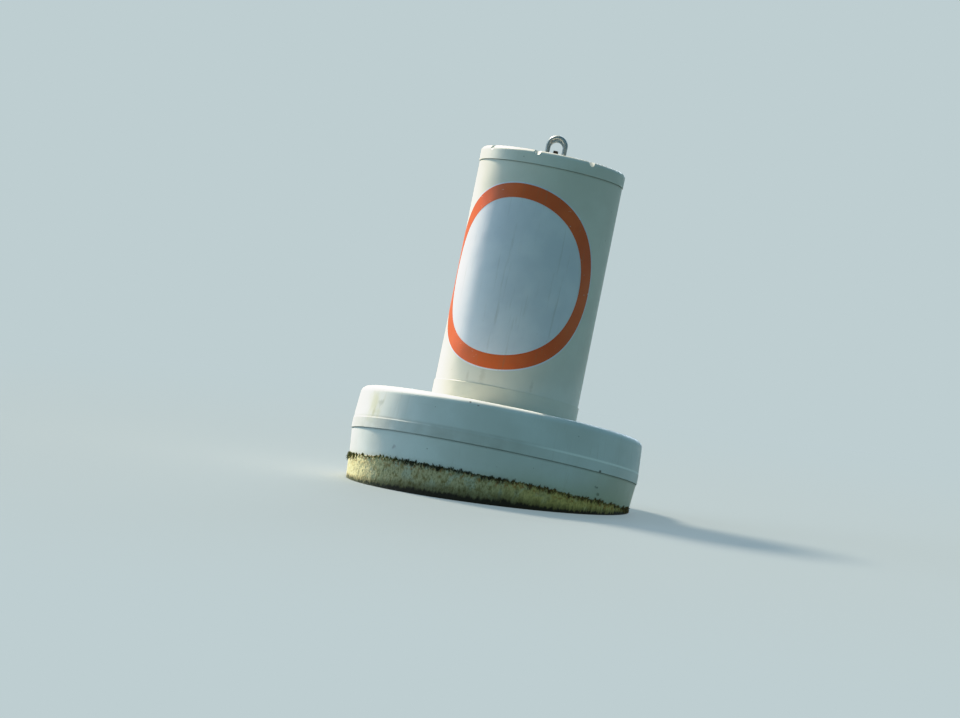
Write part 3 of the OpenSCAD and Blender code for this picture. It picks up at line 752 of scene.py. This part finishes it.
single = rng.uniform(0, 2 * math.pi, SINGLES)
sunny, shady = np.clip(-2 * np.cos(single), 0, 1), np.clip(2 * np.cos(single) - 0.5, 0, 1)
single = single[rng.uniform(0, 1, SINGLES) < 1 - (0.75 * sunny + 0.5 * shady)]
angle = np.concatenate([angle.ravel(), single]) % (2 * math.pi)
length = np.concatenate([length.ravel(), rng.uniform(0.002, 0.005, len(single))])
lean = np.concatenate([lean.ravel(), rng.uniform(-2.2, 1.8, len(single))])
run = edge[(angle / (2 * math.pi) * CRUST_COLUMNS).astype(int) % CRUST_COLUMNS]
run = run + rng.gamma(2.0, 0.0012, len(angle)) - 0.001
width = rng.uniform(0.0004, 0.0008, len(angle))
blades("scum_tufts", rng, angle, run, length, width, lean, 0.3, material)

# Living weed: soft, wet and glossy strands from deep to yellowish green
material, tree, shader, point = started("green weed")
shade = add(tree, "TexNoise", point, Scale=per(14), Detail=3)
shade = add(tree, "MapRange", shade, 0.35, 0.65, **SMOOTH)
colour = add(tree, "Mix", shade, linear("#2C3D12"), linear("#6B8A2C"), **COLOURS)
shader.inputs["Roughness"].default_value = 0.35
tree.links.new(colour, shader.inputs["Base Color"])

STRANDS = 4200
angle = rng.uniform(0, 2 * math.pi, STRANDS)
run = rng.uniform(0.090, 0.200, STRANDS)
length = rng.uniform(0.006, 0.024, STRANDS)
width = rng.uniform(0.0006, 0.0012, STRANDS)
lean = rng.uniform(0.6, 2.4, STRANDS)
blades("green_weed", rng, angle, run, length, width, lean, 0.45, material)


# The washers and the eyes. Flat washers and bent and forged eyes of steel, hot dip galvanised and
# then left to the weather for years.

# Dull grey zinc with a soft crystal pattern, white bloom in patches and a little rust, over a
# roughness drawn coarser than the real one to show
material, tree, shader, point = started("hot dip galvanised steel")
crystal = add(tree, "TexVoronoi", point, Scale=per(7), Randomness=1.0).node.outputs["Color"]
tone = add(tree, "SeparateColor", crystal).node.outputs["Blue"]
colour = add(tree, "Mix", tone, linear("#878F91"), linear("#A9AFAE"), **COLOURS)
bloom = add(tree, "TexNoise", point, Scale=per(6), Detail=4, Roughness=0.65)
bloom = add(tree, "MapRange", bloom, 0.5, 0.68, 0, 0.7, **SMOOTH)
colour = add(tree, "Mix", bloom, colour, linear("#B2B5B0"), **COLOURS)
rust = add(tree, "TexNoise", point, Scale=per(11), Detail=4, Roughness=0.6)
rust = add(tree, "MapRange", rust, 0.6, 0.74, 0, 0.65, **SMOOTH)
colour = add(tree, "Mix", rust, colour, linear("#7A5A3C"), **COLOURS)
dull = add(tree, "Math", bloom, rust, operation="MAXIMUM")
metal = add(tree, "Math", 1.0, dull, operation="SUBTRACT")
tree.links.new(metal, shader.inputs["Metallic"])
roughness = add(tree, "MapRange", dull, 0.0, 0.7, 0.38, 0.75, **SMOOTH)
grain = add(tree, "TexNoise", point, Scale=per(1.2), Detail=4, Roughness=0.6)
finished(tree, shader, colour, roughness, add(tree, "Math", grain, 0.00012, operation="MULTIPLY"))
for node in ("cap_washer", "lifting_eye", "foot_washer", "mooring_eye"):
    dress(node, material)


# The tie rod and its two nuts. Rolled and threaded steel, cut after it was coated, so that the
# rod's ends and the nuts have rusted dark.

# Old rust over steel: nearly black, matt and rough, brown only in patches
material, tree, shader, point = started("rusted threaded steel")
flaking = add(tree, "TexNoise", point, Scale=per(3), Detail=4, Roughness=0.65)
tone = add(tree, "MapRange", flaking, 0.35, 0.65, **SMOOTH)
colour = add(tree, "Mix", tone, linear("#26231F"), linear("#4B3A2C"), **COLOURS)
shader.inputs["Metallic"].default_value = 0.3
roughness = add(tree, "MapRange", flaking, 0.3, 0.7, 0.55, 0.85, **SMOOTH)
finished(tree, shader, colour, roughness, add(tree, "Math", flaking, 0.0002, operation="MULTIPLY"))
for node in ("tie_rod", "cap_nut", "lock_nut"):
    dress(node, material)


# The ballast. A plain block of grey iron, cast in sand and left rough. It lies closed in the foot
# cap, low enough to hold the column upright.

# The sand's grain, drawn coarser than it is, on a dark, half metallic skin with a breath of rust
material, tree, shader, point = started("sand cast iron")
skin = add(tree, "TexNoise", point, Scale=per(2), Detail=5, Roughness=0.7)
tone = add(tree, "MapRange", skin, 0.3, 0.7, **SMOOTH)
colour = add(tree, "Mix", tone, linear("#3A3633"), linear("#5E4A3C"), **COLOURS)
shader.inputs["Metallic"].default_value = 0.6
roughness = add(tree, "MapRange", skin, 0.3, 0.7, 0.6, 0.85, **SMOOTH)
finished(tree, shader, colour, roughness, add(tree, "Math", skin, 0.0005, operation="MULTIPLY"))
dress("ballast_block", material)


# The floor. A plain pale disc at the waterline, tilted as the buoy heels. Its outer part takes the
# backdrop's own brightness, so that no rim or horizon shows.

BACKDROP = "#BECDD0"
FLOOR_R = 40.0
FLOOR_ROWS, FLOOR_COLUMNS = 16, 96
# Radii where the backdrop's brightness starts to show and where nothing else is left, in metres,
# and its share in the middle, which keeps the shadow light
PLAIN_FROM, PLAIN_TO = 0.9, 4.2
SHADOW_LIFT = 0.3

# Matt painted board: one pale tone with no gloss
material, tree, shader, point = started("pale matt floor")
shader.inputs["Base Color"].default_value = linear("#C3C9CB")
shader.inputs["Roughness"].default_value = 1.0
shader.inputs["Specular IOR Level"].default_value = 0.1
plain = add(tree, "Emission", linear(BACKDROP))
away = add(tree, "VectorMath", point, operation="LENGTH")
plainness = add(tree, "MapRange", away, PLAIN_FROM, PLAIN_TO, SHADOW_LIFT, 1, **SMOOTH)
merged = add(tree, "MixShader", plainness, shader.outputs[0], plain)
tree.links.new(merged, tree.nodes["Material Output"].inputs["Surface"])

# Rings whose radii grow by one ratio, and a fan of triangles in the middle
turn_round = np.linspace(0, 2 * math.pi, FLOOR_COLUMNS, endpoint=False)
rings = np.geomspace(0.02, FLOOR_R, FLOOR_ROWS)[:, None]
flat_x, flat_y = rings * np.cos(turn_round), rings * np.sin(turn_round)
tilted_z = WATERLINE_SLOPE[0] * flat_x + WATERLINE_SLOPE[1] * flat_y
points = np.vstack([np.stack([flat_x, flat_y, tilted_z], -1).reshape(-1, 3), [0, 0, 0]])
first = np.arange(FLOOR_COLUMNS)
fan = np.stack([first, np.roll(first, -1), np.full(FLOOR_COLUMNS, len(points) - 1)], -1)
quads = closed_grid(FLOOR_ROWS, FLOOR_COLUMNS)
floor = mesh_piece("floor", points, [quads[:, ::-1], fan[:, ::-1]], material)
floor.visible_diffuse = False


# The light. A soft sun from behind on the left, and beside it a spot whose soft edge runs down the
# buoy, so that the back isn't burnt out. A wide glow comes from the left and a weak one from
# behind, and a faint fill is cool from above and green from below, most of all on the right.

# Azimuths of lights are counted from the camera's, which is counted from -Y towards +X, in degrees
CAMERA_AZIMUTH = 14.3
SUN_PLACE = (-131, 45)
SUN_COLOUR = "#FFF0D8"


def towards(azimuth, elevation):
    """The direction of an azimuth counted from the camera's, and an elevation, in degrees."""
    a, e = math.radians(CAMERA_AZIMUTH + azimuth), math.radians(elevation)
    return Vector((math.sin(a) * math.cos(e), -math.cos(a) * math.cos(e), math.sin(e)))


def lamp(name, kind, energy, colour, place, back):
    """A lamp at a place, whose light comes from the direction back."""
    data = bpy.data.lights.new(name, kind)
    data.energy = energy
    data.color = linear(colour)[:3]
    made = bpy.data.objects.new(name, data)
    made.location = place
    made.rotation_euler = back.to_track_quat("Z", "Y").to_euler()
    bpy.context.scene.collection.objects.link(made)
    return made


suns = (
    # name, azimuth and elevation, energy, how many degrees wide it looks, colour
    ("sun", SUN_PLACE, 2.9, 12, SUN_COLOUR),
    ("sky_left", (-97, 12), 1.0, 60, "#CFE2F6"),
    ("sky_behind", (172, 25), 0.9, 30, "#E4F0FF"),
)
for name, place, energy, wide, colour in suns:
    lamp(name, "SUN", energy, colour, (0, 0, 0), towards(*place)).data.angle = math.radians(wide)

# The spot's power in watts, its distance, how far its middle is aimed past the axis towards the
# lit side, where across the buoy its edge starts and ends, and its own radius, in metres
SPOT_POWER = 6600
SPOT_AWAY, SPOT_ASIDE = 9.0, 3.35
SPOT_FULL, SPOT_NONE = 0.18, -0.16
SPOT_R = 0.12
SPOT_MIDDLE = Vector((0, 0, 0.3))
across = towards(SUN_PLACE[0] + 90, 0)
place = SPOT_MIDDLE + SPOT_AWAY * towards(*SUN_PLACE)
spot = lamp("spot", "SPOT", SPOT_POWER, SUN_COLOUR, place, place - SPOT_MIDDLE - SPOT_ASIDE * across)
aimed_off = math.atan(SPOT_ASIDE / SPOT_AWAY)
inner, outer = (aimed_off - math.atan(edge / SPOT_AWAY) for edge in (SPOT_FULL, SPOT_NONE))
spot.data.spot_size = 2 * outer
spot.data.spot_blend = (math.cos(inner) - math.cos(outer)) / (1 - math.cos(outer))
spot.data.shadow_soft_size = SPOT_R
not_floor = bpy.data.collections.new("not_floor")
not_floor.objects.link(floor)
spot.light_linking.receiver_collection = not_floor
not_floor.collection_objects[0].light_linking.link_state = "EXCLUDE"

# The camera sees the plain backdrop, and everything else the fill
world = bpy.data.worlds.new("studio")
world.use_nodes = True
bpy.context.scene.world = world
tree = world.node_tree
backdrop = add(tree, "Background", linear(BACKDROP), 1.0)
direction = add(tree, "TexCoord").node.outputs["Generated"]
on_right = add(tree, "VectorMath", direction, towards(90, 0), operation="DOT_PRODUCT")
on_right = add(tree, "MapRange", on_right, -0.2, 0.9, **SMOOTH)
from_below = add(tree, "Mix", on_right, linear("#62807A"), linear("#506756"), **COLOURS)
upwards = add(tree, "SeparateXYZ", direction).node.outputs["Z"]
upwards = add(tree, "MapRange", upwards, -0.5, 0.5, **SMOOTH)
glow = add(tree, "Mix", upwards, from_below, linear("#6E93A3"), **COLOURS)
fill = add(tree, "Background", glow, 1.0)
seen = add(tree, "LightPath").node.outputs["Is Camera Ray"]
both = add(tree, "MixShader", seen, fill, backdrop)
tree.links.new(both, tree.nodes["World Output"].inputs["Surface"])


# The camera. A long lens 13 metres off, four degrees below the plane of the buoy's own rings,
# since the buoy leans away, and rolled so that it leans to the right as in the photograph.

# The lens's length in pixels of the 960 by 718 frame, the camera's distance in metres, its
# elevation, and the roll that leans the buoy, in degrees
LENS_PIXELS = 5300
DISTANCE = 12.96
ELEVATION = -4.0
LEAN = 11.5
FRAME = (960, 718)
# Where the middle of the collar's joint stands in that frame
JOINT_PIXEL = (494.0, 456.2)

e, lean = math.radians(ELEVATION), math.radians(LEAN)
back = np.array(towards(0, ELEVATION))
axis_up = np.array([0, 0, 1]) - back * math.sin(e)
axis_up /= np.linalg.norm(axis_up)
axis_right = np.cross(axis_up, back)
right = math.cos(lean) * axis_right + math.sin(lean) * axis_up
up = math.cos(lean) * axis_up - math.sin(lean) * axis_right
metres = DISTANCE / LENS_PIXELS
aim = np.array([0, 0, joint_z])
aim = aim + right * (FRAME[0] / 2 - JOINT_PIXEL[0]) * metres
aim = aim + up * (JOINT_PIXEL[1] - FRAME[1] / 2) * metres
camera_data = bpy.data.cameras.new("camera")
camera_data.sensor_width = 36
camera_data.lens = LENS_PIXELS * camera_data.sensor_width / FRAME[0]
camera_data.clip_end = 100
camera = bpy.data.objects.new("camera", camera_data)
bpy.context.scene.collection.objects.link(camera)
turned = Matrix(np.column_stack([right, up, back]).tolist()).to_4x4()
turned.translation = (aim + back * DISTANCE).tolist()
camera.matrix_world = turned
bpy.context.scene.camera = camera

# The picture's tones are kept up to middling brightness and eased towards white above it, as a
# camera does, so that the sunlit plastic isn't burnt out. Pairs of brightness in and out:
SHOULDER = ((0.5, 0.5), (0.7, 0.705), (0.86, 0.835), (1.0, 0.90), (1.25, 0.95))
WHITE = 1.8
response = bpy.context.scene.view_settings
response.view_transform = "Standard"
response.use_curve_mapping = True
response.curve_mapping.white_level = (WHITE, WHITE, WHITE)
for bright, shown in SHOULDER:
    response.curve_mapping.curves[3].points.new(bright / WHITE, shown)
response.curve_mapping.update()
